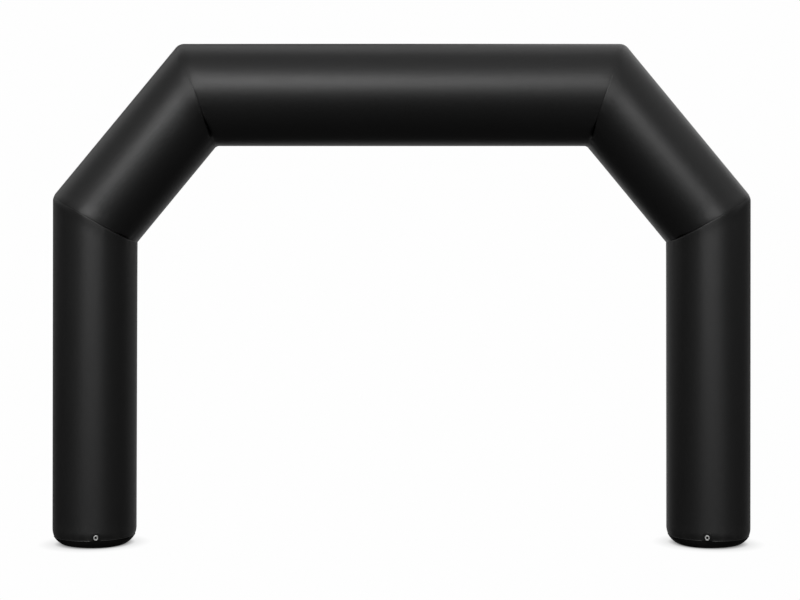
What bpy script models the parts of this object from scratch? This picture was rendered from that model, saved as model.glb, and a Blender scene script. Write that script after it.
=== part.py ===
# Inflatable arch of five sewn tubes: two upright legs, two sloping tubes and a level beam.
# Each leg ends in a rounded base, and a tab with an oval eyelet ring is sewn into its base seam.
# Metres, +Z up, X across the arch. The ground is z = 0, the arch stands centred on the origin,
# and its front, where the two rings are, faces -Y.
import math

import bmesh
import bpy
from mathutils import Vector

# Outline, seen from the front. A tube's width is measured square to its own direction.
OVERALL_WIDTH = 6.000
OVERALL_HEIGHT = 4.2965
LEG_WIDTH = 0.709
SLOPE_WIDTH = 0.796
BEAM_WIDTH = 0.873
SHOULDER_HEIGHT = 2.984  # outer corner where a leg meets its sloping tube
CROWN_REACH = 1.913  # outer corner where a sloping tube meets the beam, from the middle

# Mitred seams: air pressure rounds the tubes off towards them, except at the tight inner corner.
# The drop is how far a seam's front and back lie in from its middle, towards the inner corner.
SHOULDER_HALF_DEPTH = 0.400
SHOULDER_DROP = 0.035
CROWN_HALF_DEPTH = 0.400
CROWN_DROP = 0.010
SEAM_DRAW = 0.006
SEAM_ROUND = 0.050

# Foot of a leg: drawn in to the base seam, then the base bulges down to its flat resting disc
BASE_SEAM_HEIGHT = 0.069
BASE_SEAM_DRAW = 0.015
FOOT_ROUND = 0.070
REST_RADIUS = 0.267
REST_DROP = 0.038  # how far the disc's front and back lie in towards the middle of the arch
BASE_BULGE = 1.5  # 1 would be an elliptical edge, 2 a straight cone

# Tab and ring, placed across from the leg's centre line towards the middle of the arch
ANCHOR_ASIDE = 0.083
ANCHOR_HEIGHT = 0.1003
TAB_BEND = 0.6  # share of the leg's curvature that the tab follows, behind its flat ring
TAB_HALF_WIDTH = 0.036
TAB_HALF_HEIGHT = 0.0365
TAB_RISE = 0.0085  # middle of the tab above the ring's centre
TAB_SQUARENESS = 0.6
TAB_THICKNESS = 0.0022
RING_HALF_HOLE = (0.0105, 0.0118)
RING_HALF_OUTER = (0.0192, 0.0247)
RING_HEIGHT = 0.0042
RING_COLLAR = 0.15  # share of the band's width that carries on through the tab
RING_EDGE = 0.28  # share of the band's width that each rounded edge takes

GAP = 0.0003
TUBE_SIDES = 56
ANCHOR_SIDES = 32

FABRIC_BLACK = (0.012, 0.012, 0.0125, 1.0)
BASE_BLACK = (0.008, 0.008, 0.008, 1.0)
STEEL_GREY = (0.55, 0.55, 0.54, 1.0)


def clear_scene():
    for item in list(bpy.data.objects):
        bpy.data.objects.remove(item, do_unlink=True)


def make_material(name, colour, roughness, metallic):
    material = bpy.data.materials.new(name)
    material.use_nodes = True
    shader = material.node_tree.nodes["Principled BSDF"]
    shader.inputs["Base Color"].default_value = colour
    shader.inputs["Roughness"].default_value = roughness
    shader.inputs["Metallic"].default_value = metallic
    return material


def make_solid(name, loops, material, ring_shaped=False):
    """Closed solid through a list of loops with equal point counts.

    Its first and last loops are capped, or joined to each other when it is ring shaped."""
    shape = bmesh.new()
    rows = [[shape.verts.new(point) for point in loop] for loop in loops]
    sides = len(rows[0])
    next_rows = rows[1:] + rows[:1] if ring_shaped else rows[1:]
    for row, next_row in zip(rows, next_rows):
        for i in range(sides):
            j = (i + 1) % sides
            shape.faces.new((row[i], row[j], next_row[j], next_row[i]))
    if not ring_shaped:
        shape.faces.new(rows[0])
        shape.faces.new(rows[-1])
    bmesh.ops.recalc_face_normals(shape, faces=shape.faces)

    mesh = bpy.data.meshes.new(name)
    shape.to_mesh(mesh)
    shape.free()
    mesh.materials.append(material)
    mesh.shade_smooth()
    mesh.set_sharp_from_angle(angle=math.radians(40))
    solid = bpy.data.objects.new(name, mesh)
    bpy.context.scene.collection.objects.link(solid)
    return solid


# A section is the oval in which a tube is cut: its outer point, its inner point, both as (x, z)
# in the plane of the arch, its half depth along Y, and its drop.

def section_loop(section):
    outer, inner, half_depth, drop = section
    middle = (outer + inner) / 2
    reach = (outer - inner) / 2
    inward = -reach.normalized() * drop
    loop = []
    for i in range(TUBE_SIDES):
        angle = math.tau * i / TUBE_SIDES
        point = middle + reach * math.cos(angle) + inward * math.sin(angle) ** 2
        loop.append(Vector((point.x, half_depth * math.sin(angle), point.y)))
    return loop


def between(start, end, share):
    """Section that lies a share of the way from start to end."""
    return tuple(a + (b - a) * share for a, b in zip(start, end))


def trimmed(section, towards):
    """Section moved half a gap off its seam plane, to the side of the section `towards`."""
    outer, inner, half_depth, drop = section
    across = (outer - inner).normalized()
    off_plane = Vector((-across.y, across.x))
    if off_plane.dot(towards[0] - outer) < 0:
        off_plane.negate()
    shift = off_plane * GAP / 2
    return outer + shift, inner + shift, half_depth, drop


def drawn_in(section, amount):
    """Section with its outer side and its front and back pulled in, its inner point kept."""
    outer, inner, half_depth, drop = section
    return outer - (outer - inner).normalized() * amount, inner, half_depth - amount, drop


def mirrored(section):
    outer, inner, half_depth, drop = section
    return Vector((-outer.x, outer.y)), Vector((-inner.x, inner.y)), half_depth, drop


def rounded_end(seam, far):
    """Sections from a mitred seam to where its rounding ends, on the way to section `far`."""
    seam = trimmed(seam, far)
    length = (far[0] - seam[0]).length
    sections = []
    for reached in (0.0, 0.25, 0.6, 1.0):
        draw = SEAM_DRAW * (1 - reached) ** 2
        sections.append(drawn_in(between(seam, far, reached * SEAM_ROUND / length), draw))
    return sections


def mitre_sections():
    """Sections of the right half's two mitred seams: shoulder, then crown."""
    leg_outer_x = OVERALL_WIDTH / 2
    leg_inner_x = leg_outer_x - LEG_WIDTH
    shoulder_outer = Vector((leg_outer_x, SHOULDER_HEIGHT))
    crown_outer = Vector((CROWN_REACH, OVERALL_HEIGHT))
    slope = (crown_outer - shoulder_outer).normalized()
    inner_line = shoulder_outer + Vector((-slope.y, slope.x)) * SLOPE_WIDTH
    shoulder_inner = inner_line + slope * ((leg_inner_x - inner_line.x) / slope.x)
    beam_underside = OVERALL_HEIGHT - BEAM_WIDTH
    crown_inner = inner_line + slope * ((beam_underside - inner_line.y) / slope.y)
    shoulder = (shoulder_outer, shoulder_inner, SHOULDER_HALF_DEPTH, SHOULDER_DROP)
    crown = (crown_outer, crown_inner, CROWN_HALF_DEPTH, CROWN_DROP)
    return shoulder, crown


def foot_radius(height):
    """Radius of a leg near the ground, where it is drawn in towards the base seam."""
    above_seam = min(1.0, (height - BASE_SEAM_HEIGHT) / FOOT_ROUND)
    return LEG_WIDTH / 2 - BASE_SEAM_DRAW * (1 - above_seam) ** 2


def round_section(radius, height):
    """Level round section about the right leg's axis."""
    axis_x = (OVERALL_WIDTH - LEG_WIDTH) / 2
    return Vector((axis_x + radius, height)), Vector((axis_x - radius, height)), radius, 0.0


def leg_sections(shoulder):
    foot_top = round_section(LEG_WIDTH / 2, BASE_SEAM_HEIGHT + FOOT_ROUND)
    sections = []
    for share in (0.0, 0.2, 0.4, 0.7):
        height = BASE_SEAM_HEIGHT + FOOT_ROUND * share + (GAP / 2 if share == 0 else 0)
        sections.append(round_section(foot_radius(height), height))
    sections.append(foot_top)
    sections.append(between(foot_top, shoulder, 0.5))
    return sections + rounded_end(shoulder, foot_top)[::-1]


def slope_sections(shoulder, crown):
    middle = between(shoulder, crown, 0.5)
    return rounded_end(shoulder, crown) + [middle] + rounded_end(crown, shoulder)[::-1]


def beam_sections(crown):
    """Level sections of the beam, which is fullest in its middle, from left to right."""
    left_crown = mirrored(crown)
    swell = BEAM_WIDTH / 2 - crown[2]
    sections = rounded_end(left_crown, crown)
    for share in (0.18, 0.34, 0.5, 0.66, 0.82):
        outer, inner, half_depth, drop = between(left_crown, crown, share)
        half_depth += swell * math.sin(math.pi * share)
        sections.append((outer, inner, half_depth, drop))
    return sections + rounded_end(crown, left_crown)[::-1]


def base_sections():
    """Base of a leg: an edge that bulges from the seam down to the flat resting disc."""
    seam_radius = foot_radius(BASE_SEAM_HEIGHT)
    seam_height = BASE_SEAM_HEIGHT - GAP / 2
    sections = []
    steps = 6
    for step in range(steps + 1):
        angle = math.pi / 2 * step / steps
        radius = REST_RADIUS + (seam_radius - REST_RADIUS) * math.cos(angle) ** BASE_BULGE
        lowered = math.sin(angle) ** BASE_BULGE
        outer, inner, half_depth, _ = round_section(radius, seam_height * (1 - lowered))
        sections.append((outer, inner, half_depth, REST_DROP * lowered))
    return sections


class AnchorFrame:
    """Place of the right leg's tab and ring: a point on the leg, and the directions
    across, up the leg's surface, and straight out of it."""

    def __init__(self):
        self.radius = foot_radius(ANCHOR_HEIGHT)
        drawn = 1 - (ANCHOR_HEIGHT - BASE_SEAM_HEIGHT) / FOOT_ROUND
        lean = 2 * BASE_SEAM_DRAW / FOOT_ROUND * drawn  # slope of the foot's side there
        self.side_bend = 1 / self.radius
        self.rise_bend = 2 * BASE_SEAM_DRAW / FOOT_ROUND ** 2

        turn = math.asin(ANCHOR_ASIDE / self.radius)
        level_out = Vector((-math.sin(turn), -math.cos(turn), 0))
        axis_x = (OVERALL_WIDTH - LEG_WIDTH) / 2
        self.origin = Vector((axis_x, 0, ANCHOR_HEIGHT)) + level_out * self.radius
        self.up = (level_out * lean + Vector((0, 0, 1))).normalized()
        self.across = level_out.cross(Vector((0, 0, 1))).normalized()
        self.out = self.up.cross(self.across).normalized()
        if self.out.dot(level_out) < 0:
            self.out.negate()

    def place(self, u, v, height, bend=0.0):
        """Point u across, v up and a height off the leg, bent a share of the way round it."""
        fall = bend * (u * u * self.side_bend + v * v * self.rise_bend) / 2
        return self.origin + self.across * u + self.up * v + self.out * (height - fall)


def signed_power(value, power):
    return math.copysign(abs(value) ** power, value)


def ring_oval(band_share, angle):
    """Point (u, v) on the oval a share of the way from the ring's hole to its outer edge."""
    half_u, half_v = (hole + (outer - hole) * band_share
                      for hole, outer in zip(RING_HALF_HOLE, RING_HALF_OUTER))
    return half_u * math.cos(angle), half_v * math.sin(angle)


def tab_loops(frame):
    """Loops round the tab's hole: up its back to the edge, then back over its front."""
    loops = []
    back = GAP
    front = GAP + TAB_THICKNESS
    walk = [(0.0, back), (0.5, back), (1.0, back), (1.0, front), (0.5, front), (0.0, front)]
    for share, height in walk:
        loop = []
        for i in range(ANCHOR_SIDES):
            angle = math.tau * i / ANCHOR_SIDES
            hole_u, hole_v = ring_oval(RING_COLLAR, angle)
            hole_u += GAP * math.cos(angle)
            hole_v += GAP * math.sin(angle)
            edge_u = TAB_HALF_WIDTH * signed_power(math.cos(angle), TAB_SQUARENESS)
            edge_v = TAB_RISE + TAB_HALF_HEIGHT * signed_power(math.sin(angle), TAB_SQUARENESS)
            loop.append(frame.place(hole_u + (edge_u - hole_u) * share,
                                    hole_v + (edge_v - hole_v) * share, height, TAB_BEND))
        loops.append(loop)
    return loops


def ring_loops(frame):
    """Loops round the ring's hole: the collar through the tab, then the band's back, outer
    edge, flat front and inner edge."""
    collar_foot = 2 * GAP
    band_foot = GAP + TAB_THICKNESS + GAP
    walk = [(0.0, collar_foot), (RING_COLLAR, collar_foot), (RING_COLLAR, band_foot)]
    steps = 4
    for step in range(steps + 1):
        angle = math.pi / 2 * step / steps
        walk.append((1 - RING_EDGE * (1 - math.cos(angle)),
                     band_foot + RING_HEIGHT * math.sin(angle)))
    for step in range(steps + 1):
        angle = math.pi / 2 * step / steps
        walk.append((RING_EDGE * (1 - math.sin(angle)),
                     band_foot + RING_HEIGHT * math.cos(angle)))
    loops = []
    for share, height in walk:
        loop = []
        for i in range(ANCHOR_SIDES):
            u, v = ring_oval(share, math.tau * i / ANCHOR_SIDES)
            loop.append(frame.place(u, v, height))
        loops.append(loop)
    return loops


def mirror_loops(loops):
    return [[Vector((-point.x, point.y, point.z)) for point in loop] for loop in loops]


def build():
    clear_scene()
    fabric = make_material("tube_fabric", FABRIC_BLACK, 0.45, 0.0)
    base_fabric = make_material("base_fabric", BASE_BLACK, 0.60, 0.0)
    tab_fabric = make_material("tab_fabric", BASE_BLACK, 0.70, 0.0)
    steel = make_material("ring_steel", STEEL_GREY, 0.35, 1.0)

    shoulder, crown = mitre_sections()
    beam = [section_loop(section) for section in beam_sections(crown)]
    make_solid("beam", beam, fabric)

    anchor = AnchorFrame()
    right_half = [
        ("leg", [section_loop(section) for section in leg_sections(shoulder)], fabric, False),
        ("slope", [section_loop(section) for section in slope_sections(shoulder, crown)],
         fabric, False),
        ("base", [section_loop(section) for section in base_sections()], base_fabric, False),
        ("anchor_tab", tab_loops(anchor), tab_fabric, True),
        ("anchor_ring", ring_loops(anchor), steel, True),
    ]
    for name, loops, material, ring_shaped in right_half:
        make_solid(name + "_right", loops, material, ring_shaped)
        make_solid(name + "_left", mirror_loops(loops), material, ring_shaped)


build()
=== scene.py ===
# Looks of an inflatable arch: five sewn air tubes, two round bases, two eyelet tabs with rings.
# Metres, +Z up, X across the arch, its front faces -Y and its bases stand on z = 0. Left and right
# are as seen from the front.
import math

import bpy
import numpy as np
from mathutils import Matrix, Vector


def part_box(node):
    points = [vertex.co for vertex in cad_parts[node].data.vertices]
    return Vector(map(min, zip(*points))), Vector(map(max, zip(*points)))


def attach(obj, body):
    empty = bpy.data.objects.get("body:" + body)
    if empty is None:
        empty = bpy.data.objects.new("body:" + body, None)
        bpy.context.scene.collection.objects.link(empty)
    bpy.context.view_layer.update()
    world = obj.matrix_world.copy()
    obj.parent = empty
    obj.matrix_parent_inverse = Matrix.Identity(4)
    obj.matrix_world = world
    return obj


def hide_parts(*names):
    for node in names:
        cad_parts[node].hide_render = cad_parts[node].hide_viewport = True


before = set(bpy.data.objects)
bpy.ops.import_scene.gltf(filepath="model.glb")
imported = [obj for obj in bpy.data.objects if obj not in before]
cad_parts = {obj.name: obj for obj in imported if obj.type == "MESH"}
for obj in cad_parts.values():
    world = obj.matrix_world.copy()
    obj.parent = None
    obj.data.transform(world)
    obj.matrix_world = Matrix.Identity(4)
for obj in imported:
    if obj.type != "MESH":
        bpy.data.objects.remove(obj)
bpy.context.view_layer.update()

scene = bpy.context.scene
scene.view_settings.view_transform = "Standard"

cameraSetup = {"place": (-0.0125, -11.912, 2.0932), "lens": 62.13, "sensor": 36.0,
               "farthest": 200.0}  # lens and sensor in millimetres


def addCamera(setup):
    data = bpy.data.cameras.new("archCamera")
    data.lens = setup["lens"]
    data.sensor_width = setup["sensor"]
    data.clip_end = setup["farthest"]
    camera = bpy.data.objects.new("archCamera", data)
    camera.location = setup["place"]
    camera.rotation_euler = (math.radians(90), 0, 0)  # level, along +Y
    scene.collection.objects.link(camera)
    scene.camera = camera


# turn: degrees round the arch from straight in front, positive towards +X. rise: degrees above
# the horizon. spread: how wide the soft lamp looks from the arch, in degrees. Most of this table
# was not set by hand: a least-squares fit chose the lamps and their strengths. Only rightUnder,
# backUnder and the strength of backLow were given apart from the fit.
studioLamps = {
    "keyLeft": {"turn": -20, "rise": 22, "spread": 18, "strength": 0.555},
    "keyMiddle": {"turn": -10, "rise": 22, "spread": 18, "strength": 0.673},
    "keyRight": {"turn": 10, "rise": 22, "spread": 18, "strength": 0.499},
    "keyLow": {"turn": 20, "rise": 12, "spread": 18, "strength": 0.213},
    "frontTop": {"turn": 0, "rise": 60, "spread": 45, "strength": 0.221},
    "leftFront": {"turn": -60, "rise": 30, "spread": 45, "strength": 0.151},
    "rightFront": {"turn": 60, "rise": 30, "spread": 45, "strength": 0.120},
    "rightSide": {"turn": 90, "rise": 30, "spread": 45, "strength": 0.154},
    "leftBack": {"turn": -120, "rise": 30, "spread": 45, "strength": 0.288},
    "rightBack": {"turn": 150, "rise": 30, "spread": 45, "strength": 0.432},
    "leftTop": {"turn": -150, "rise": 60, "spread": 45, "strength": 0.365},
    "rightTop": {"turn": 120, "rise": 60, "spread": 45, "strength": 0.315},
    "leftLow": {"turn": -150, "rise": 0, "spread": 45, "strength": 0.098},
    "rightLow": {"turn": 135, "rise": -12, "spread": 40, "strength": 0.061},
    "rightUnder": {"turn": 150, "rise": -20, "spread": 40, "strength": 0.030},
    "backLow": {"turn": 180, "rise": -12, "spread": 40, "strength": 0.175},
    "backUnder": {"turn": 180, "rise": -35, "spread": 60, "strength": 0.030},
}
lampDistance = 6.0  # keeps them clear of the arch, and changes no light, because they are suns


def addLamps(lamps):
    for name, lamp in lamps.items():
        data = bpy.data.lights.new(name, "SUN")
        data.energy = lamp["strength"]
        data.angle = math.radians(lamp["spread"])
        turn = math.radians(lamp["turn"])
        rise = math.radians(lamp["rise"])
        level = math.cos(rise)
        towards = (math.sin(turn) * level, -math.cos(turn) * level, math.sin(rise))
        item = bpy.data.objects.new(name, data)
        item.location = [lampDistance * step for step in towards]
        item.rotation_mode = "QUATERNION"
        item.rotation_quaternion = Vector(towards).to_track_quat("Z", "Y")
        scene.collection.objects.link(item)


def addNode(tree, kind, inputs=None, **settings):
    node = tree.nodes.new(kind)
    for key, value in settings.items():
        setattr(node, key, value)
    for key, value in (inputs or {}).items():
        if isinstance(value, bpy.types.NodeSocket):
            tree.links.new(value, node.inputs[key])
        else:
            node.inputs[key].default_value = value
    return node


def addMath(tree, operation, first, second=0.0, third=0.0, clamp=False):
    node = addNode(tree, "ShaderNodeMath", {0: first, 1: second, 2: third}, operation=operation)
    node.use_clamp = clamp
    return node.outputs[0]


def mapTo(tree, value, low, high):
    # 0 becomes low and 1 becomes high
    return addMath(tree, "MULTIPLY_ADD", value, high - low, low)


def addFade(tree, value, start, end, first=1.0, last=0.0):
    # first up to start, last from end on, and a smooth step between them
    return addNode(tree, "ShaderNodeMapRange", {0: value, 1: start, 2: end, 3: first, 4: last},
                   interpolation_type="SMOOTHSTEP").outputs[0]


def addNoise(tree, vector, scale, detail, roughness):
    return addNode(tree, "ShaderNodeTexNoise", {"Vector": vector, "Scale": scale, "Detail": detail,
                                                "Roughness": roughness}).outputs[0]


def addMark(tree, name):
    # a measure that the mesh carries at its points, 0 where it carries none
    return addNode(tree, "ShaderNodeAttribute", attribute_name=name).outputs["Fac"]


def addBump(tree, strength, depth, height, **under):
    return addNode(tree, "ShaderNodeBump", {"Strength": strength, "Distance": depth,
                                            "Height": height, **under}).outputs[0]


def mixColours(tree, factor, first, second):
    # first and second are colours or sockets
    node = addNode(tree, "ShaderNodeMix", {"Factor": factor}, data_type="RGBA")
    sockets = [socket for socket in node.inputs if socket.type == "RGBA"]
    for socket, colour in zip(sockets, (first, second)):
        if isinstance(colour, bpy.types.NodeSocket):
            tree.links.new(colour, socket)
        else:
            socket.default_value = (*colour, 1)
    return [socket for socket in node.outputs if socket.type == "RGBA"][0]


def newGroup(name, inputs, outputs):
    # an input given as a number is a value, and one given as None is a vector
    group = bpy.data.node_groups.new(name, "ShaderNodeTree")
    for label, value in inputs.items():
        kind = "NodeSocketVector" if value is None else "NodeSocketFloat"
        socket = group.interface.new_socket(name=label, in_out="INPUT", socket_type=kind)
        if value is not None:
            socket.default_value = value
    for label in outputs:
        group.interface.new_socket(name=label, in_out="OUTPUT", socket_type="NodeSocketFloat")
    given = group.nodes.new("NodeGroupInput").outputs
    result = group.nodes.new("NodeGroupOutput").inputs
    return group, given, result


def makeWeaveGroup():
    # height = half of (1 + sine of the way across * sine of the way along), one crossing for each
    # thread
    group, given, result = newGroup("plainWeave", {"Cloth": None, "Pitch": 0.0016}, ["Height"])
    turns = addMath(group, "DIVIDE", math.pi, given["Pitch"])
    scaled = addNode(group, "ShaderNodeVectorMath", {0: given["Cloth"], "Scale": turns},
                     operation="SCALE")
    parts = addNode(group, "ShaderNodeSeparateXYZ", {0: scaled.outputs[0]})
    across = addMath(group, "SINE", parts.outputs[0])
    along = addMath(group, "SINE", parts.outputs[1])
    crossing = addMath(group, "MULTIPLY", across, along)
    group.links.new(addMath(group, "MULTIPLY_ADD", crossing, 0.5, 0.5), result["Height"])
    return group


mottleForm = {"ripples": 12.0, "fine": 14.0}  # how much finer than the slow cloud they are


def makeMottleGroup():
    # a slow cloud, soft ripples and a fine cloud, each between 0 and 1, from the piece's own
    # coordinates
    group, given, result = newGroup("clothMottle", {"Vector": None, "Scale": 3.0},
                                    ["Slow", "Ripple", "Fine"])
    slow = addNoise(group, given["Vector"], given["Scale"], detail=3.0, roughness=0.5)
    closer = addMath(group, "MULTIPLY", given["Scale"], mottleForm["ripples"])
    ripple = addNoise(group, given["Vector"], closer, detail=1.0, roughness=0.4)
    finer = addMath(group, "MULTIPLY", given["Scale"], mottleForm["fine"])
    fine = addNoise(group, given["Vector"], finer, detail=4.0, roughness=0.6)
    group.links.new(slow, result["Slow"])
    group.links.new(ripple, result["Ripple"])
    group.links.new(fine, result["Fine"])
    return group


# thread: metres from the row's line where a thread is full and where it has ended. dash: the same
# from the middle of a stitch, in shares of its length.
stitchForm = {"thread": (0.0004, 0.0011), "dash": (0.34, 0.42)}


def makeStitchGroup():
    # a thread shows where the distance from the seam is near the row, for most of each stitch
    group, given, result = newGroup(
        "stitchRow", {"Along": 0.0, "Distance": 1.0, "Row": 0.012, "Stitch": 0.005}, ["Thread"])
    off = addMath(group, "SUBTRACT", given["Distance"], given["Row"])
    off = addMath(group, "ABSOLUTE", off)
    narrow = addFade(group, off, *stitchForm["thread"])
    share = addMath(group, "FRACT", addMath(group, "DIVIDE", given["Along"], given["Stitch"]))
    middle = addMath(group, "ABSOLUTE", addMath(group, "SUBTRACT", share, 0.5))
    dash = addFade(group, middle, *stitchForm["dash"])
    group.links.new(addMath(group, "MULTIPLY", narrow, dash), result["Thread"])
    return group


# scale: size of the cloud that breaks up the dust. patches: where in it a patch of dust starts
# and is full. least: how much dust lies between the patches.
dustForm = {"scale": 9.0, "patches": (0.42, 0.72), "least": 0.15}


def makeDustGroup():
    # dust fades out with height above the ground and is broken up by a cloud
    group, given, result = newGroup("groundDust", {"Vector": None, "Reach": 0.25}, ["Dust"])
    height = addNode(group, "ShaderNodeSeparateXYZ", {0: given["Vector"]}).outputs[2]
    low = addFade(group, height, 0.0, given["Reach"])
    cloud = addNoise(group, given["Vector"], dustForm["scale"], detail=5.0, roughness=0.65)
    patch = addFade(group, cloud, *dustForm["patches"], first=dustForm["least"], last=1.0)
    group.links.new(addMath(group, "MULTIPLY", low, patch), result["Dust"])
    return group


sharedGroups = {
    "weave": makeWeaveGroup(),
    "mottle": makeMottleGroup(),
    "stitch": makeStitchGroup(),
    "dust": makeDustGroup(),
}


def addShared(tree, which, inputs):
    return addNode(tree, "ShaderNodeGroup", inputs, node_tree=sharedGroups[which]).outputs


def newMaterial(name):
    material = bpy.data.materials.new(name)
    material.use_nodes = True
    tree = material.node_tree
    return material, tree, tree.nodes["Principled BSDF"]


def inTones(colour, tones):
    return [[tone * part for part in colour] for tone in tones]


def unevenRoughness(tree, cloud, roughness, uneven):
    # wanders with the fine cloud, from below the roughness to above it
    below, above = uneven
    return mapTo(tree, cloud["Fine"], roughness - below, roughness + above)


# pitch: metres from thread to thread. row: how far the stitches lie from the seam. dust: how high
# it reaches. ripple: depth of the ripples in the coating.
# paintedHighlightColour: the pale colour of painted highlights along the tubes' seams, standing in
# for light caught on the seams' edges and corners; the bases and tabs carry none
coatedCloth = {
    "tubeCloth": {"colour": (0.0079, 0.0079, 0.0080), "dustColour": (0.018, 0.018, 0.017),
                  "paintedHighlightColour": (0.080, 0.080, 0.078), "roughness": 0.445, "gloss": 0.5,
                  "pitch": 0.0016, "row": 0.014, "dust": 0.25, "ripple": 0.00030},
    "baseCloth": {"colour": (0.0074, 0.0074, 0.0076), "dustColour": (0.016, 0.015, 0.014),
                  "paintedHighlightColour": (0.020, 0.020, 0.019), "roughness": 0.62, "gloss": 0.04,
                  "pitch": 0.0022, "row": 0.012, "dust": 0.12, "ripple": 0.00030},
    "tabCloth": {"colour": (0.0070, 0.0070, 0.0072), "dustColour": (0.016, 0.015, 0.014),
                 "paintedHighlightColour": (0.020, 0.020, 0.019), "roughness": 0.46, "gloss": 0.45,
                 "pitch": 0.0019, "row": 0.004, "dust": 0.05, "ripple": 0.00018},
}
# The same for every cloth. cloud: scale of the slow cloud. tones: its dark and its pale part, as
# shares of the colour. uneven: how far the roughness wanders down and up. dusty, taut and threaded:
# what dust, tightness and thread add to the roughness. weave and stitches: strength and depth of
# their relief.
clothFinish = {"cloud": 2.3, "tones": (0.86, 1.14), "uneven": (0.03, 0.03), "dusty": 0.12,
               "taut": -0.04, "threaded": 0.1, "weave": (0.35, 0.00025), "stitches": (0.8, 0.0006),
               "ior": 1.5}


def makeCloth(name, values):
    # the cloud, dust and painted seam highlights are in the colour; the roughness wanders, rises
    # with dust and thread and falls where the cloth is taut; ripples, weave and stitches are in the
    # relief
    finish = clothFinish
    material, tree, shader = newMaterial(name)
    place = addNode(tree, "ShaderNodeTexCoord").outputs["Object"]
    cloth = addNode(tree, "ShaderNodeUVMap", uv_map="cloth").outputs[0]
    across = addNode(tree, "ShaderNodeSeparateXYZ", {0: cloth}).outputs[0]
    seam = addMark(tree, "seamDistance")

    weave = addShared(tree, "weave", {"Cloth": cloth, "Pitch": values["pitch"]})["Height"]
    cloud = addShared(tree, "mottle", {"Vector": place, "Scale": finish["cloud"]})
    thread = addShared(tree, "stitch", {"Along": across, "Distance": seam,
                                        "Row": values["row"]})["Thread"]
    dust = addShared(tree, "dust", {"Vector": place, "Reach": values["dust"]})["Dust"]

    toned = mixColours(tree, cloud["Slow"], *inTones(values["colour"], finish["tones"]))
    dusty = mixColours(tree, dust, toned, values["dustColour"])
    # painted highlight: the paler colour is mixed in where the mesh marks it, standing in for light
    # caught on the seams' edges and corners
    paintedHighlight = mixColours(tree, addMark(tree, "paintedLight"), dusty, values["paintedHighlightColour"])
    tree.links.new(paintedHighlight, shader.inputs["Base Color"])

    rough = unevenRoughness(tree, cloud, values["roughness"], finish["uneven"])
    rough = addMath(tree, "MULTIPLY_ADD", dust, finish["dusty"], rough)
    rough = addMath(tree, "MULTIPLY_ADD", addMark(tree, "tightness"), finish["taut"], rough)
    rough = addMath(tree, "MULTIPLY_ADD", thread, finish["threaded"], rough, clamp=True)
    tree.links.new(rough, shader.inputs["Roughness"])

    ripples = addBump(tree, 1.0, values["ripple"], cloud["Ripple"])
    threads = addBump(tree, *finish["weave"], weave, Normal=ripples)
    stitches = addBump(tree, *finish["stitches"], thread, Normal=threads)
    tree.links.new(stitches, shader.inputs["Normal"])
    shader.inputs["IOR"].default_value = finish["ior"]
    shader.inputs["Specular IOR Level"].default_value = values["gloss"]
    return material


# scratches: strength and depth of their relief
ringFinish = {"colour": (0.66, 0.66, 0.65), "tones": (0.8, 1.15), "cloud": 40.0, "roughness": 0.42,
              "uneven": (0.08, 0.10), "metallic": 0.15, "scratches": (0.2, 0.0002)}


def makeSteel(name, values):
    # the slow cloud is in the colour, the fine one in the roughness and the relief
    material, tree, shader = newMaterial(name)
    place = addNode(tree, "ShaderNodeTexCoord").outputs["Object"]
    cloud = addShared(tree, "mottle", {"Vector": place, "Scale": values["cloud"]})
    toned = mixColours(tree, cloud["Slow"], *inTones(values["colour"], values["tones"]))
    tree.links.new(toned, shader.inputs["Base Color"])
    rough = unevenRoughness(tree, cloud, values["roughness"], values["uneven"])
    tree.links.new(rough, shader.inputs["Roughness"])
    scratches = addBump(tree, *values["scratches"], cloud["Fine"])
    tree.links.new(scratches, shader.inputs["Normal"])
    shader.inputs["Metallic"].default_value = values["metallic"]
    return material


farFromSeam = 1.0  # metres, for points that have no seam: the ends of a skin, and the rings
sharpFrom = {"skin": 50, "anchor": 60}  # degrees between two faces whose edge is kept sharp


def roundAngles(sides):
    # from the back line over the outer line (0), the front line and the inner line
    return -math.pi / 2 + math.tau * np.arange(sides) / sides


def smoothStep(value, low, high):
    # 0 up to low, 1 from high on, and three squares less two cubes of the share between
    share = np.clip((value - low) / (high - low), 0, 1)
    return share * share * (3 - 2 * share)


def riseAndFall(value, start, full, last, end):
    # 0 up to start, 1 from full to last, and 0 again from end on
    return smoothStep(value, start, full) * (1 - smoothStep(value, last, end))


def bell(value, width):
    # e to the minus (value / width) squared
    return np.exp(-(value / width) ** 2)


def surfaceNormals(points):
    # square to both directions of the grid, which goes round in its second direction
    rowStep = np.gradient(points, axis=0)
    sideStep = np.roll(points, -1, axis=1) - np.roll(points, 1, axis=1)
    normals = np.cross(sideStep, rowStep)
    return normals / np.linalg.norm(normals, axis=2, keepdims=True)


def halved(quads):
    return np.concatenate([quads[:, [0, 1, 2]], quads[:, [0, 2, 3]]])


def signedVolume(points, triangles):
    # a sixth of the sum of corner . (corner x corner), above 0 where the faces point outwards
    a, b, c = (points[triangles[:, i]] for i in range(3))
    return np.einsum("ij,ij->i", a, np.cross(b, c)).sum() / 6


def gridQuads(i, j, nextI, nextJ, sides):
    return np.stack([i * sides + j, i * sides + nextJ, nextI * sides + nextJ, nextI * sides + j],
                    axis=-1).reshape(-1, 4)


def markPoints(mesh, name, values):
    mesh.attributes.new(name, "FLOAT", "POINT").data.foreach_set("value", values)


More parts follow.
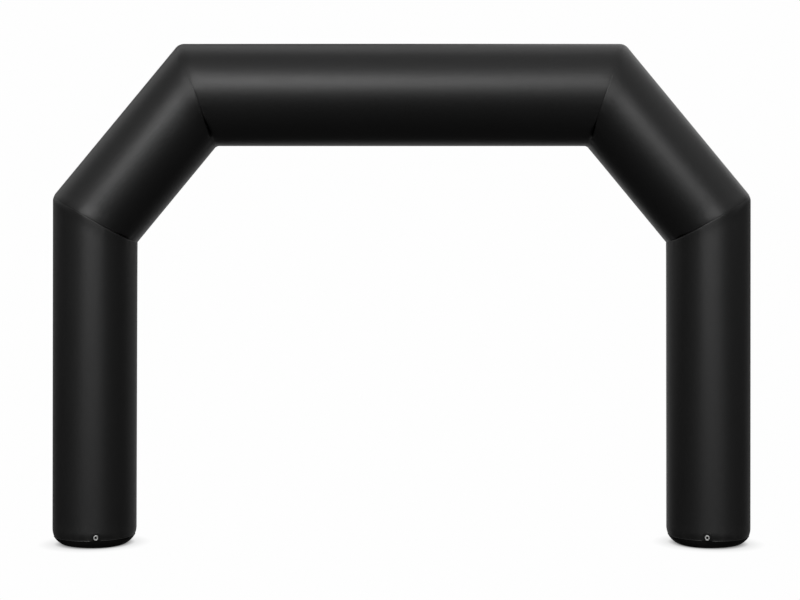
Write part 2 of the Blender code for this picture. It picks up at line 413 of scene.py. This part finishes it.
def makePiece(name, points, faces, clothPlace, seamDistance, sharpAngle):
    # clothPlace: metres across and along the cloth, for each corner of each face
    mesh = bpy.data.meshes.new(name)
    mesh.from_pydata(points.tolist(), [], faces)
    mesh.uv_layers.new(name="cloth").data.foreach_set("uv", clothPlace.ravel())
    markPoints(mesh, "seamDistance", seamDistance)
    mesh.shade_smooth()
    mesh.set_sharp_from_angle(angle=math.radians(sharpAngle))
    mesh.update()
    piece = bpy.data.objects.new(name, mesh)
    scene.collection.objects.link(piece)
    return piece


def closedMesh(name, rows, circumference, along, seamDistance):
    # rows of points closed round, with one pole at either end. circumference: metres of cloth
    # round the tube. along: metres of cloth from the first row. seamDistance: metres from the
    # nearest seam.
    count, sides, _ = rows.shape
    points = np.concatenate([rows.reshape(-1, 3), rows[:1].mean(axis=1), rows[-1:].mean(axis=1)])
    i, j = np.meshgrid(np.arange(count - 1), np.arange(sides), indexing="ij")
    quads = gridQuads(i, j, i + 1, (j + 1) % sides, sides)
    across = np.arange(sides + 1) / sides * circumference
    corners = ((0, 0), (0, 1), (1, 1), (1, 0))  # steps to the next row and the next side
    uvQuads = np.stack([np.stack([across[j + k], along[i + m, j]], axis=-1)
                        for m, k in corners], axis=2).reshape(-1, 2)
    side = np.arange(sides)
    nextSide = (side + 1) % sides
    firstPole, lastPole = count * sides, count * sides + 1
    lastRow = (count - 1) * sides
    caps = np.concatenate([
        np.stack([nextSide, side, np.full(sides, firstPole)], axis=-1),
        np.stack([lastRow + side, lastRow + nextSide, np.full(sides, lastPole)], axis=-1)])
    uvCaps = np.zeros((caps.size, 2))
    if signedVolume(points, np.concatenate([halved(quads), caps])) < 0:
        quads, caps = quads[:, ::-1], caps[:, ::-1]
        uvQuads = uvQuads.reshape(-1, 4, 2)[:, ::-1].reshape(-1, 2)
    return makePiece(name, points, quads.tolist() + caps.tolist(),
                     np.concatenate([uvQuads, uvCaps]),
                     np.append(seamDistance.ravel(), [farFromSeam] * 2), sharpFrom["skin"])


legLow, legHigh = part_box("leg_right")
slopeLow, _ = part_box("slope_right")
beamLow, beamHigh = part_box("beam")
legWidth = legHigh.x - legLow.x
beamWidth = beamHigh.z - beamLow.z

# The seams of both halves, each in the x and z of the right half, which the left one mirrors.
# shoulderHeight and crownReach: z and x of the seams' outer corners. bow: how far the front and
# back of a seam curve sideways. shift: how far its outer and inner corner lie off to +x. hook: a
# short bend of the front, at hookPlace of the way to the inner corner. depth: half depth of the
# tubes. drop: how far their front and back lie in towards the walkway. slopeTightness: 0 for
# plain and 1 for taut, shiny cloth. sides: points round a tube. rowStep: metres from row to row,
# away from the seams. gap: metres from a seam to the skin on either side.
archShape = {"shoulderHeight": 2.984, "crownReach": 1.913, "footHeight": 0.069,
             "shoulderBow": {"left": 0.002, "right": -0.004},
             "crownBow": {"left": 0.0166, "right": 0.040},
             "shoulderShift": {"left": (-0.0048, -0.0048), "right": (0.0011, 0.0011)},
             "crownShift": {"left": (-0.0022, -0.0022), "right": (0.0060, 0.0030)},
             "crownHook": {"left": 0.008, "right": 0.003}, "hookPlace": 0.89, "hookWidth": 0.06,
             "footDepth": 0.3545, "shoulderDepth": 0.400, "crownDepth": 0.400,
             "shoulderDrop": 0.035, "crownDrop": 0.010,
             "slopeTightness": {"left": 0.4, "right": 0.7},
             "sides": 224, "rowStep": 0.045, "gap": 0.0005}


def ovalSection(outer, inner, halfDepth, bow=0.0, drop=0.0, hook=0.0):
    return {"outer": np.array(outer), "inner": np.array(inner), "halfDepth": halfDepth, "bow": bow,
            "drop": drop, "hook": hook}


shoulders, crowns = {}, {}
for side in ("left", "right"):
    outerShift, innerShift = archShape["shoulderShift"][side]
    shoulders[side] = ovalSection((legHigh.x + outerShift, archShape["shoulderHeight"]),
                                  (legLow.x + innerShift, slopeLow.z), archShape["shoulderDepth"],
                                  archShape["shoulderBow"][side], archShape["shoulderDrop"])
    outerShift, innerShift = archShape["crownShift"][side]
    crowns[side] = ovalSection((archShape["crownReach"] + outerShift, beamHigh.z),
                               (slopeLow.x + innerShift, beamLow.z), archShape["crownDepth"],
                               archShape["crownBow"][side], archShape["crownDrop"],
                               archShape["crownHook"][side])
foot = ovalSection((legHigh.x, archShape["footHeight"]), (legLow.x, archShape["footHeight"]),
                   archShape["footDepth"])


def mirroredSection(section):
    flip = np.array([-1, 1])
    return {**section, "outer": section["outer"] * flip, "inner": section["inner"] * flip,
            "bow": -section["bow"], "hook": -section["hook"]}  # their direction turns round too


def shareAcross(angles):
    # half of (1 - cosine): 0 at the outer corner, 1 at the inner one
    return (1 - np.cos(angles)) / 2


def sectionPoints(section, angles):
    # middle + reach * cosine in the arch's plane, half depth * sine towards the front. The front
    # and back also move by the sine squared: sideways by the bow, and inwards by the drop. The
    # hook moves the front sideways near the inner corner, by a bell of the share of the way there.
    middle = (section["outer"] + section["inner"]) / 2
    reach = (section["outer"] - section["inner"]) / 2
    outward = reach / np.linalg.norm(reach)
    sideways = np.array([-outward[1], outward[0]])
    shift = sideways * section["bow"] - outward * section["drop"]
    hooked = bell(shareAcross(angles) - archShape["hookPlace"], archShape["hookWidth"])
    hook = section["hook"] * hooked * np.clip(np.sin(angles), 0, None)
    flat = (middle + reach * np.cos(angles)[:, None]
            + shift * (np.sin(angles) ** 2)[:, None] + sideways * hook[:, None])
    return np.stack([flat[:, 0], -section["halfDepth"] * np.sin(angles), flat[:, 1]], axis=1)


turnCosine = 0.643  # of the angle that each tube turns from the next one
mitreTurn = math.acos(turnCosine) / 2

# What a seam does to the cloth beside it. A share is of the way from the outer corner (0) to the
# inner one (1), and two numbers are where an effect starts and is full, four also where it starts
# to end and has ended. fillet: reach of the outer rounding at the corner and at the front; it
# fades out over the shares "rounded". groove: depth of the drawn-in line, and its width where it
# starts and where it ends, over the shares "grooved". stitched: depth of the sewn line, and its
# shares.
# bevel: depth and width of the sloping edge, over the shares "bevelled". ridge: height of the
# raised seam, over the shares "ridged". swell: how much fuller the front and back are, and how far
# from the seam that lasts. pouch: the same around one share, with that share and its width.
# pucker, waves and shift: height of the puckers, their number round the tube, and where they
# begin. paintedHighlight: how strong a painted highlight along the edge is, how far from the seam,
# and how wide, over the shares "paintedHighlightAt". paintedStreak: how strong a painted highlight
# down the middle of the seam is, and how wide.
# at the crowns' inner corners the painted highlight is a pale wedge that stands in for light
# reaching the corner from behind
crownSeam = {"fillet": (0.045, 0.110), "rounded": (0.46, 0.56), "ridge": 0.006,
             "ridged": (0.930, 0.950), "stitched": (0.0008, 0.32, 0.46), "paintedHighlightAt": (0.935, 0.960)}
seamForms = {
    "shoulderOnLeg": {"fillet": (0.035, 0.085), "rounded": (0.20, 0.38),
                      "stitched": (0.0010, -0.10, 0.0),
                      "bevel": (0.0060, 0.010), "bevelled": (0.60, 0.84, 0.93, 0.98),
                      "swell": (0.0035, 0.060), "pucker": 0.0009, "waves": 23, "shift": 0.4,
                      "paintedHighlight": (0.185, 0.008, 0.006), "paintedHighlightAt": (0.56, 0.68)},
    "shoulderOnSlope": {"fillet": (0.040, 0.100), "rounded": (0.24, 0.44),
                        "groove": (0.0170, 0.0024, 0.0080), "grooved": (0.76, 0.89, 0.91, 0.935),
                        "stitched": (0.0010, -0.10, 0.0),
                        "swell": (0.0050, 0.075), "pucker": 0.0010, "waves": 19, "shift": 1.9},
    "crownOnSlope": {**crownSeam, "groove": (0.0200, 0.0020, 0.0090), "pucker": 0.0010,
                     "waves": 21, "shift": 3.1, "paintedHighlight": (0.90, 0.0, 0.014)},
    "crownOnBeam": {**crownSeam, "groove": (0.0200, 0.0020, 0.0170), "pucker": 0.0009,
                    "waves": 25, "shift": 4.4, "paintedHighlight": (1.0, 0.0, 0.020)},
}
# what differs between the two crowns; the right one also has a painted highlight down the middle of
# its seam
crownSides = {
    "left": {"grooved": (0.71, 0.88, 0.925, 0.950), "pouch": (0.015, 0.11, 0.62, 0.17)},
    "right": {"grooved": (0.77, 0.90, 0.925, 0.950), "pouch": (0.019, 0.12, 0.72, 0.22),
              "paintedStreak": (0.35, 0.010)},
}
# The same at every seam. frontFrom: share from which the fillet has its reach of the front.
# stitchWidth and ridgeWidth: metres. puckered: shares between which the puckers grow from
# leastPucker to all of their height. puckerFade: how far from the seam they last, and how far from
# it they begin. secondWave: height and number of the finer waves among them, in shares of the
# main ones'. paintedStreakAt: shares of the painted highlight down the middle of the seam.
seamEdge = {"frontFrom": 0.45, "stitchWidth": 0.0015, "ridgeWidth": 0.010, "leastPucker": 0.2,
            "puckered": (0.5, 0.8), "puckerFade": (0.050, 0.012), "secondWave": (0.6, 1.7),
            "paintedStreakAt": (0.34, 0.38, 0.45, 0.51)}


def seamRelief(form, distance, angles):
    # rounding = reach / 2 * steepness * (1 - distance / reach) squared, inwards;
    # groove and stitches = depth * e to the minus distance / width, inwards;
    # bevel = depth * (1 - distance / width), inwards;
    # ridge, swell and pouch = height * a bell of the distance, outwards;
    # and soft puckers, two sines of the angle, that fade away from the seam
    across = shareAcross(angles)
    steep = np.sin(mitreTurn) * np.cos(angles)
    steep = steep / np.sqrt(1 - steep ** 2)
    cornerReach, frontReach = form["fillet"]
    fromCorner = smoothStep(across, 0.0, seamEdge["frontFrom"])
    reach = cornerReach + (frontReach - cornerReach) * fromCorner
    rounded = np.clip(steep, 0, None) * (1 - smoothStep(across, *form["rounded"]))
    relief = -reach / 2 * rounded * np.clip(1 - distance / reach, 0, 1) ** 2
    if "groove" in form:
        depth, startWidth, endWidth = form["groove"]
        start, _, last, _ = form["grooved"]
        width = startWidth + (endWidth - startWidth) * smoothStep(across, start, last)
        relief -= depth * riseAndFall(across, *form["grooved"]) * np.exp(-distance / width)
    depth, start, full = form["stitched"]
    stitched = smoothStep(across, start, full)
    relief -= depth * stitched * np.exp(-distance / seamEdge["stitchWidth"])
    if "bevel" in form:
        depth, width = form["bevel"]
        bevelled = riseAndFall(across, *form["bevelled"])
        relief -= depth * bevelled * np.clip(1 - distance / width, 0, 1)
    if "ridge" in form:
        ridged = smoothStep(across, *form["ridged"])
        relief += form["ridge"] * ridged * bell(distance, seamEdge["ridgeWidth"])
    if "swell" in form:
        height, lasting = form["swell"]
        relief += height * np.sin(angles) ** 2 * bell(distance, lasting)
    if "pouch" in form:
        height, lasting, place, width = form["pouch"]
        relief += (height * bell(across - place, width) * np.abs(np.sin(angles))
                   * bell(distance, lasting))
    height, number = seamEdge["secondWave"]
    waves = (np.sin(form["waves"] * angles + form["shift"])
             + height * np.sin(number * form["waves"] * angles + 2 * form["shift"]))
    lasting, beginning = seamEdge["puckerFade"]
    fade = np.exp(-distance / lasting) * (1 - np.exp(-distance / beginning))
    least = seamEdge["leastPucker"]
    puckered = least + (1 - least) * smoothStep(across, *seamEdge["puckered"])
    return relief + form["pucker"] * puckered * waves * fade


def seamPaintedLight(form, distance, angles):
    # painted highlights on the front only: amount * a bell of the distance, over the shares of the
    # edge and of the middle of the seam
    across = shareAcross(angles)
    front = np.sin(angles) > 0
    paintedLight = 0 * distance
    if "paintedHighlight" in form:
        amount, place, width = form["paintedHighlight"]
        paintedLight = paintedLight + amount * smoothStep(across, *form["paintedHighlightAt"]) * bell(distance - place, width)
    if "paintedStreak" in form:
        amount, width = form["paintedStreak"]
        paintedLight = paintedLight + amount * riseAndFall(across, *seamEdge["paintedStreakAt"]) * bell(distance, width)
    return front * paintedLight


def seamSide(name, **changes):
    form = {**seamForms[name], **changes}
    return {"relief": lambda distance, angles: seamRelief(form, distance, angles),
            "paintedLight": lambda distance, angles: seamPaintedLight(form, distance, angles)}


# metres from a seam to the rows beside it, close together first
nearRows = np.concatenate([np.arange(0, 0.026, 0.002), [0.029, 0.033, 0.038, 0.044, 0.052, 0.062,
                                                        0.075, 0.092, 0.115, 0.145, 0.18]])


def tubeRows(start, end, startSeam, endSeam, swell=0.0):
    # straight lines from section to section, a swell in depth that is fullest half way, and the
    # relief of both seams square to the surface. Returns the rows, and for each point its distance
    # from the start, its distance from the nearest seam and how much painted highlight it carries.
    angles = roundAngles(archShape["sides"])
    first = sectionPoints(start, angles)
    last = sectionPoints(end, angles)
    length = np.linalg.norm(last - first, axis=1)
    gap = archShape["gap"] / length
    middleCount = int(length.mean() / archShape["rowStep"])
    nearShare = nearRows[:, None] / length + gap
    inner = np.linspace(0, 1, middleCount + 2)[1:-1, None]
    middleShare = nearShare[-1] + inner * (1 - 2 * nearShare[-1])
    share = np.concatenate([nearShare, middleShare, 1 - nearShare[::-1]])
    points = first + share[..., None] * (last - first)
    points[..., 1] -= swell * np.sin(math.pi * share) * np.sin(angles)
    normals = surfaceNormals(points)
    outward = points - points.mean(axis=1, keepdims=True)
    if np.einsum("ijk,ijk->", normals, outward) < 0:
        normals = -normals
    startDistance, endDistance = share * length, (1 - share) * length
    relief = startSeam["relief"](startDistance, angles) + endSeam["relief"](endDistance, angles)
    paintedLight = startSeam["paintedLight"](startDistance, angles) + endSeam["paintedLight"](endDistance, angles)
    points = points + normals * relief[..., None]
    return points, startDistance, np.minimum(startDistance, endDistance), paintedLight


capShares = np.array([0.985, 0.75, 0.4])


def closingDisc(row):
    # smaller copies of an end row, drawn to its middle
    middle = row.mean(axis=0)
    return middle + (row - middle) * capShares[:, None, None]


def capped(points, startDistance, seamDistance, paintedLight):
    # a closing disc before the first row and one after the last, without painted highlight and far
    # from any seam
    points = np.concatenate([closingDisc(points[0])[::-1], points, closingDisc(points[-1])])
    pad = np.zeros((capShares.size, points.shape[1]))
    startDistance = np.concatenate([pad, startDistance, pad + startDistance.max()])
    seamDistance = np.concatenate([pad + farFromSeam, seamDistance, pad + farFromSeam])
    return points, startDistance, seamDistance, np.concatenate([pad, paintedLight, pad])


def buildTube(name, parts, circumference, tightness=0.0):
    points, along, seamDistance, paintedLight = capped(*parts)
    tube = closedMesh(name, points, circumference, along, seamDistance)
    # each point's painted highlight, read by the cloth's colour
    markPoints(tube.data, "paintedLight", np.append(paintedLight.ravel(), [0.0, 0.0]))
    markPoints(tube.data, "tightness", np.full(paintedLight.size + 2, tightness))
    return tube


def forSide(side, parts):
    # points, the first of the parts, are worked out for the right, and mirrored for the left
    points, *measures = parts
    if side == "left":
        points = points * np.array([-1, 1, 1])
    return points, *measures


# Foot of a leg. draw: how far it is drawn in at the base seam, and reach: how high. welt: height
# and width of the raised line at the seam. tuck: depth and half width of the cloth tucked in
# behind the ring's hole, at the distances "tucked" from the seam.
footForm = {"draw": 0.015, "reach": 0.070, "welt": (0.0034, 0.0030),
            "tuck": (0.012, 0.020), "tucked": (0.004, 0.016, 0.020, 0.046)}
# Ring and tab on the foot. aside: how far they lie from the leg's middle line towards the walkway.
# height: of the ring above the ground. pressed: how far to either side the tab presses the welt
# flat. edge: how soon the welt is full again.
anchorShape = {"aside": 0.083, "height": 0.1003, "pressed": 0.036, "edge": 0.012}


def footRelief(distance, angles):
    # minus draw * (1 - share of the reach) squared, plus a bell-shaped welt, and minus a
    # bell-shaped tuck
    relief = -footForm["draw"] * np.clip(1 - distance / footForm["reach"], 0, 1) ** 2
    height, width = footForm["welt"]
    beside = np.abs(-np.cos(angles) * legWidth / 2 - anchorShape["aside"])
    atFront = np.sin(angles) > 0
    flatFor = anchorShape["pressed"]
    raised = np.where(atFront, smoothStep(beside, flatFor, flatFor + anchorShape["edge"]), 1.0)
    depth, halfWidth = footForm["tuck"]
    tucked = riseAndFall(distance, *footForm["tucked"])
    relief -= depth * np.where(atFront, tucked * bell(beside, halfWidth), 0.0)
    return relief + raised * height * bell(distance, width)


footSide = {"relief": footRelief, "paintedLight": lambda distance, angles: 0 * distance}

# restRadius: of the disc it rests on. restDrop: how far that disc's front and back lie in towards
# the middle of the arch. bulge and rows: power and number of rows of the rounding. lid and disc:
# rings that close the top and the underside, as shares of their radius.
baseForm = {"restRadius": 0.267, "restDrop": 0.038, "bulge": 1.5, "rows": 22,
            "lid": (0.35, 0.75, 0.97), "disc": (0.9, 0.7, 0.4)}


def baseParts():
    # radius = rest radius + spare radius * cosine to a power, plus the welt's bell, and height =
    # seam height * (1 - sine to the same power), between a flat lid and the flat resting disc,
    # which both end in the middle. Returns the rows and, for each point, metres of cloth from the
    # first row and from the seam.
    angles = roundAngles(archShape["sides"])
    lid, disc = np.array(baseForm["lid"]), np.array(baseForm["disc"])
    seamRadius = legWidth / 2 - footForm["draw"]
    turn = np.linspace(0, math.pi / 2, baseForm["rows"])
    spare = seamRadius - baseForm["restRadius"]
    radius = baseForm["restRadius"] + spare * np.cos(turn) ** baseForm["bulge"]
    lowered = np.sin(turn) ** baseForm["bulge"]
    height = (archShape["footHeight"] - archShape["gap"]) * (1 - lowered)
    height = np.where(turn == turn[-1], 0.0, height)
    drop = baseForm["restDrop"] * np.concatenate([0 * lid, lowered, disc])
    bead, beadWidth = footForm["welt"]
    radius = radius + bead * bell(archShape["footHeight"] - height, beadWidth)
    radius = np.concatenate([seamRadius * lid, radius, baseForm["restRadius"] * disc])[:, None]
    height = np.concatenate([np.full(lid.size, height[0]), height, 0 * disc])[:, None]
    middle = (legLow.x + legHigh.x) / 2
    points = np.stack([middle + radius * np.cos(angles) - drop[:, None] * np.sin(angles) ** 2,
                       -radius * np.sin(angles), height + 0 * angles], axis=-1)
    step = np.linalg.norm(np.diff(points[:, 0], axis=0), axis=1)
    along = np.concatenate([[0], np.cumsum(step)])
    seamDistance = np.abs(along - along[lid.size])
    wide = np.ones(archShape["sides"])
    return points, along[:, None] * wide, seamDistance[:, None] * wide


def buildBase(name, parts, circumference):
    points, along, seamDistance = parts
    return closedMesh(name, points, circumference, along, seamDistance)


addCamera(cameraSetup)
addLamps(studioLamps)
tubeCloth = makeCloth("tubeCloth", coatedCloth["tubeCloth"])
baseCloth = makeCloth("baseCloth", coatedCloth["baseCloth"])
tabCloth = makeCloth("tabCloth", coatedCloth["tabCloth"])
ringSteel = makeSteel("ringSteel", ringFinish)
print("camera, lamps and materials made")


def finishPiece(piece, node, material):
    piece.data.materials.append(material)
    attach(piece, "root")
    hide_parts(node)


clothRound = {"beam": 2.74, "leg": 2.2, "slope": 2.5, "base": 2.1}  # metres round each tube

beamSeams = [seamSide("crownOnBeam", grooved=crownSides[side]["grooved"])
             for side in ("left", "right")]
beamSwell = beamWidth / 2 - archShape["crownDepth"]  # as deep half way as it is high
beam = buildTube("beamSkin", tubeRows(mirroredSection(crowns["left"]), crowns["right"],
                                      *beamSeams, beamSwell), clothRound["beam"])
finishPiece(beam, "beam", tubeCloth)

bottomParts = baseParts()
for side in ("right", "left"):
    legParts = tubeRows(foot, shoulders[side], footSide, seamSide("shoulderOnLeg"))
    leg = buildTube("legSkin_" + side, forSide(side, legParts), clothRound["leg"])
    finishPiece(leg, "leg_" + side, tubeCloth)
    slopeParts = tubeRows(shoulders[side], crowns[side], seamSide("shoulderOnSlope"),
                          seamSide("crownOnSlope", **crownSides[side]))
    slope = buildTube("slopeSkin_" + side, forSide(side, slopeParts), clothRound["slope"],
                      archShape["slopeTightness"][side])
    finishPiece(slope, "slope_" + side, tubeCloth)
    base = buildBase("baseSkin_" + side, forSide(side, bottomParts), clothRound["base"])
    finishPiece(base, "base_" + side, baseCloth)
print("tubes and bases made")


def anchorAxes():
    # the place on the right leg's foot where the ring sits, its directions across, up and out, and
    # how much the leg bends across and up there
    draw, reach = footForm["draw"], footForm["reach"]
    share = (anchorShape["height"] - archShape["footHeight"]) / reach
    radius = legWidth / 2 - draw * (1 - share) ** 2
    lean = 2 * draw / reach * (1 - share)
    turn = math.asin(anchorShape["aside"] / radius)
    level = np.array([-math.sin(turn), -math.cos(turn), 0])
    up = level * lean + np.array([0, 0, 1])
    up = up / np.linalg.norm(up)
    across = np.cross(level, [0, 0, 1])
    out = np.cross(up, across)
    out = out * np.sign(out @ level)
    place = np.array([(legLow.x + legHigh.x) / 2, 0, anchorShape["height"]]) + level * radius
    bends = (1 / radius, 2 * draw / reach ** 2)
    return {"place": place, "across": across, "up": up, "out": out, "bends": bends}


def onLeg(axes, u, v, height, bend):
    # place + u across + v up + (height - bend * half the squares times the leg's bends) out
    fall = bend * (u ** 2 * axes["bends"][0] + v ** 2 * axes["bends"][1]) / 2
    return (axes["place"] + u[..., None] * axes["across"] + v[..., None] * axes["up"]
            + (height - fall)[..., None] * axes["out"])


def ringMesh(name, loops, across, along, seamDistance):
    # loops of points, closed round both ways like a tyre
    count, sides, _ = loops.shape
    i, j = np.meshgrid(np.arange(count), np.arange(sides), indexing="ij")
    quads = gridQuads(i, j, (i + 1) % count, (j + 1) % sides, sides)
    points = loops.reshape(-1, 3)
    if signedVolume(points, halved(quads)) < 0:
        quads = quads[:, ::-1]
    flat = np.stack([across.ravel(), along.ravel()], axis=1)
    return makePiece(name, points, quads.tolist(), flat[quads.ravel()], seamDistance.ravel(),
                     sharpFrom["anchor"])


# rise: how far its middle lies above the ring's. squareness: power of the edge's sine and cosine,
# 1 for an oval. bend: how much of the leg's bends it follows. clear: space under it and in its
# hole. edge: how far the rim's rows lie in from the faces, next to them and between them. back
# and front: rows of points, as shares of the way from the hole to the edge. stitchRow: share and
# width of the dip along the stitches.
tabForm = {"halfWidth": 0.036, "halfHeight": 0.0365, "rise": 0.0085, "squareness": 0.6,
           "thickness": 0.0022, "bend": 0.6, "clear": 0.0003, "edge": (0.0004, 0.0010),
           "stitchDip": 0.0004, "stitchRow": (0.85, 0.05), "back": (0.0, 0.3, 0.6, 0.85, 0.97),
           "front": (0.99, 0.955, 0.90, 0.85, 0.80, 0.70, 0.5, 0.25, 0.0), "sides": 128}
# hole and outer: half width and half height. height: above the tab. collar, edge, under and top
# are shares of the way from the hole to the outer edge: the collar goes through the tab, either
# edge is rounded, and under and top are rows of points.
ringForm = {"hole": (0.0105, 0.0118), "outer": (0.0192, 0.0247), "height": 0.0042, "collar": 0.15,
            "edge": 0.30, "under": 0.6, "top": (0.55, 0.45), "sides": 128, "steps": 12}


def ringOval(share, angles):
    # half width * cosine and half height * sine, from the hole's at share 0 to the outer at 1
    halfU, halfV = (hole + (outer - hole) * share
                    for hole, outer in zip(ringForm["hole"], ringForm["outer"]))
    return halfU * np.cos(angles), halfV * np.sin(angles)


def tabLoops(axes):
    # from the hole's oval to the outer edge, a rounded square of cosine and sine to a power: over
    # the back, round the edge, and back over the front, which dips along its row of stitches
    angles = math.tau * np.arange(tabForm["sides"]) / tabForm["sides"]
    holeU, holeV = ringOval(ringForm["collar"], angles)
    holeU = holeU + tabForm["clear"] * np.cos(angles)
    holeV = holeV + tabForm["clear"] * np.sin(angles)
    power = tabForm["squareness"]
    edgeU = tabForm["halfWidth"] * np.sign(np.cos(angles)) * np.abs(np.cos(angles)) ** power
    edgeV = (tabForm["rise"] + tabForm["halfHeight"] * np.sign(np.sin(angles))
             * np.abs(np.sin(angles)) ** power)
    backShare, frontShare = np.array(tabForm["back"]), np.array(tabForm["front"])
    share = np.concatenate([backShare, [1.0, 1.0], frontShare])[:, None]
    thickness = tabForm["thickness"]
    atFaces, between = tabForm["edge"]
    stitchShare, stitchWidth = tabForm["stitchRow"]
    front = thickness - tabForm["stitchDip"] * bell(frontShare - stitchShare, stitchWidth)
    front[0] -= atFaces
    height = np.concatenate([0 * backShare, [atFaces, thickness - between], front])[:, None]
    u = holeU + (edgeU - holeU) * share
    v = holeV + (edgeV - holeV) * share
    toEdge = (1 - share) * np.hypot(edgeU - holeU, edgeV - holeV)
    loops = onLeg(axes, u, v, tabForm["clear"] + height + 0 * u, tabForm["bend"])
    return loops, u, v, toEdge


def ringLoops(axes):
    # a flat band whose outer and inner edges are quarter rounds, with a collar through the tab
    angles = math.tau * np.arange(ringForm["sides"]) / ringForm["sides"]
    quarter = np.linspace(0, math.pi / 2, ringForm["steps"])
    underTab = 2 * tabForm["clear"]
    onTab = underTab + tabForm["thickness"]
    top = onTab + ringForm["height"]
    edge, collar = ringForm["edge"], ringForm["collar"]
    share = np.concatenate([[0, collar, collar, ringForm["under"]],
                            1 - edge * (1 - np.cos(quarter)), ringForm["top"],
                            edge * (1 - np.sin(quarter))])[:, None]
    height = np.concatenate([[underTab, underTab, onTab, onTab],
                             onTab + ringForm["height"] * np.sin(quarter), [top, top],
                             onTab + ringForm["height"] * np.cos(quarter)])[:, None]
    u, v = ringOval(share, angles)
    return onLeg(axes, u, v, height + 0 * u, 0.0), u, v, farFromSeam + 0 * u


axes = anchorAxes()
tabParts, ringParts = tabLoops(axes), ringLoops(axes)
for side in ("right", "left"):
    ring = ringMesh("eyeletRing_" + side, *forSide(side, ringParts))
    finishPiece(ring, "anchor_ring_" + side, ringSteel)
    tab = ringMesh("eyeletTab_" + side, *forSide(side, tabParts))
    finishPiece(tab, "anchor_tab_" + side, tabCloth)
print("tabs and rings made")


# contact and skirt: how far from a foot the floor's painted contact shadow and its faint painted
# shade reach, and the power that sets how dark they are. fill: strength of the light from all
# round,
# from the same fit as the lamps. floor: half width and height.
roomLook = {"white": 0.991, "contact": (0.045, 0.30), "skirt": (0.16, 0.30), "fill": 0.034,
            "floor": (80.0, -0.001)}


def addFloor(look):
    mesh = bpy.data.meshes.new("studioFloor")
    far, height = look["floor"]
    corners = [(-far, -far, height), (far, -far, height), (far, far, height), (-far, far, height)]
    mesh.from_pydata(corners, [], [(0, 1, 2, 3)])
    floor = bpy.data.objects.new("studioFloor", mesh)
    scene.collection.objects.link(floor)
    material = bpy.data.materials.new("studioFloor")
    material.use_nodes = True
    tree = material.node_tree
    tree.nodes.clear()
    # painted contact shadow: occlusion near the feet darkens the floor's even white glow
    shades = []
    for reach, power in (look["contact"], look["skirt"]):
        near = addNode(tree, "ShaderNodeAmbientOcclusion", {"Distance": reach}, samples=16)
        shades.append(addMath(tree, "POWER", near.outputs["AO"], power))
    shade = addMath(tree, "MULTIPLY", *shades)
    glow = addNode(tree, "ShaderNodeEmission",
                   {"Strength": addMath(tree, "MULTIPLY", shade, look["white"])})
    output = tree.nodes.new("ShaderNodeOutputMaterial")
    tree.links.new(glow.outputs[0], output.inputs[0])
    mesh.materials.append(material)
    floor.visible_diffuse = False
    floor.visible_glossy = False
    floor.visible_shadow = False  # so that light thrown back up from the ground can pass


def addRoom(look):
    # white where the camera sees it, and a faint fill for everything else
    world = bpy.data.worlds.new("studioRoom")
    scene.world = world
    world.use_nodes = True
    tree = world.node_tree
    tree.nodes.clear()
    seen = addNode(tree, "ShaderNodeLightPath").outputs["Is Camera Ray"]
    strength = mapTo(tree, seen, look["fill"], look["white"])
    glow = addNode(tree, "ShaderNodeBackground", {"Color": (1, 1, 1, 1), "Strength": strength})
    output = tree.nodes.new("ShaderNodeOutputWorld")
    tree.links.new(glow.outputs[0], output.inputs[0])


addFloor(roomLook)
addRoom(roomLook)
print("floor and room made")
